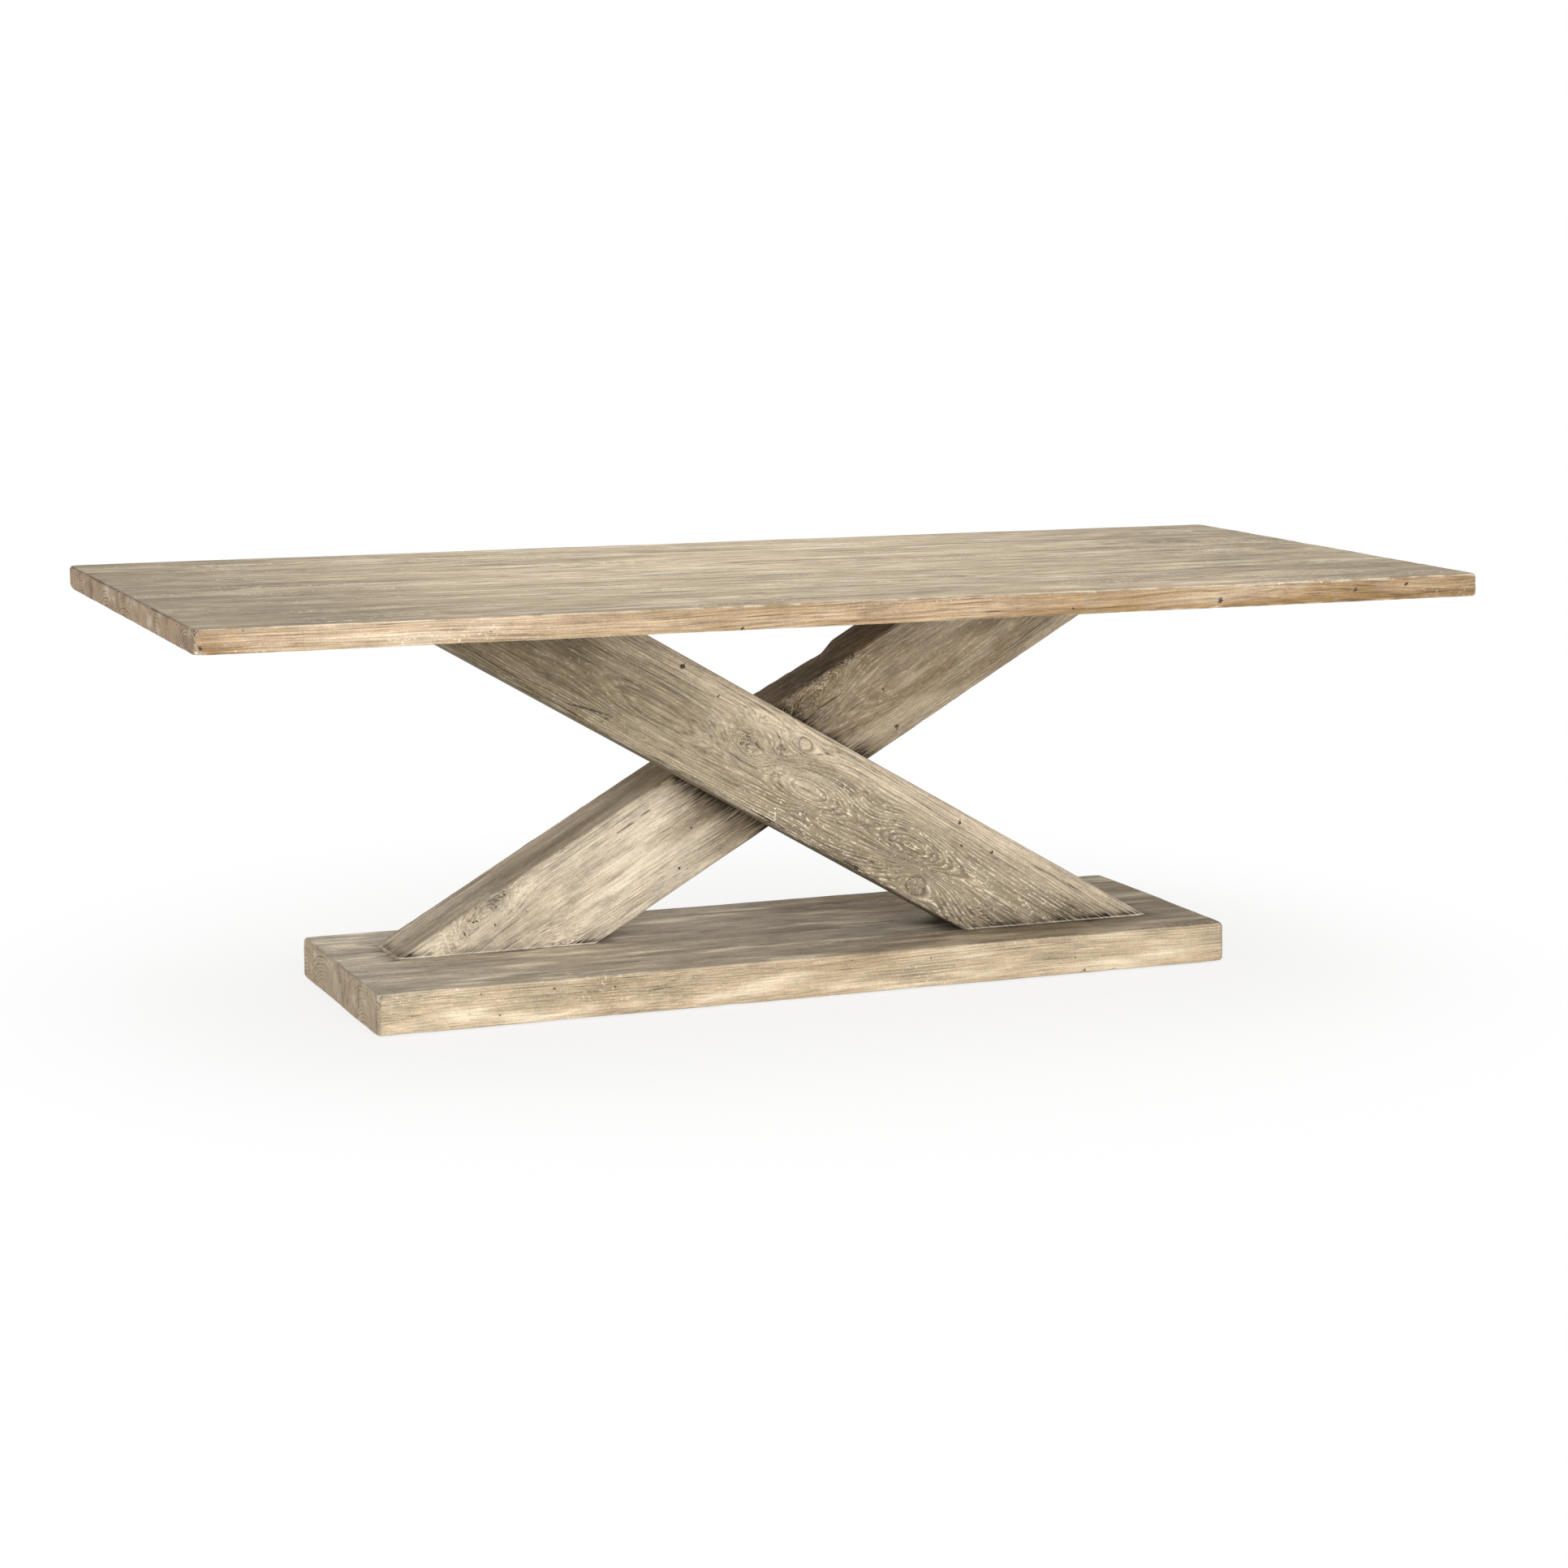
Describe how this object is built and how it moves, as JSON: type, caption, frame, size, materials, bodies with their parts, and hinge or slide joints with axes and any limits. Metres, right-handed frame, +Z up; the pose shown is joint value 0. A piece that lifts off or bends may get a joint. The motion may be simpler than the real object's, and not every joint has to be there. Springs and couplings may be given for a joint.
{
  "type": "sawbuck table",
  "caption": "Long rigid dining table of weathered pine: a thick plank top on two heavy baulks that cross in an X along its length and stand on a low plank plinth.",
  "frame": {"origin": "on the floor, under the middle of the top", "axes": "+X along the table's length, +Z up, front towards -Y"},
  "size_m": [2.4, 1.05, 0.762],
  "materials": {
    "top_pine": "weathered reclaimed pine, matt wax",
    "plinth_pine": "weathered reclaimed pine, matt wax",
    "front_baulk_pine": "weathered reclaimed pine, matt, open grain",
    "rear_baulk_pine": "weathered reclaimed pine, matt, open grain",
    "batten_pine": "sawn pine, unfinished",
    "beech": "plain planed hardwood",
    "zinc_steel": "bright zinc plate",
    "felt": "pressed wool felt"
  },
  "bodies": {
    "root": {"top_front_board": "top_pine", "top_second_board": "top_pine", "top_middle_board": "top_pine", "top_fourth_board": "top_pine", "top_back_board": "top_pine", "plinth_front_board": "plinth_pine", "plinth_middle_board": "plinth_pine", "plinth_back_board": "plinth_pine", "front_baulk": "front_baulk_pine", "rear_baulk": "rear_baulk_pine", "left_batten": "batten_pine", "right_batten": "batten_pine", "top_tongue_1": "beech", "top_tongue_2": "beech", "top_tongue_3": "beech", "top_tongue_4": "beech", "plinth_tongue_1": "beech", "plinth_tongue_2": "beech", "batten_pegs": "beech", "left_foot_tenon": "beech", "right_foot_tenon": "beech", "crossing_key": "beech", "batten_screws": "zinc_steel", "foot_coach_screws": "zinc_steel", "crossing_coach_screws": "zinc_steel", "coach_washers": "zinc_steel", "felt_pads": "felt"}
  },
  "joints": []
}
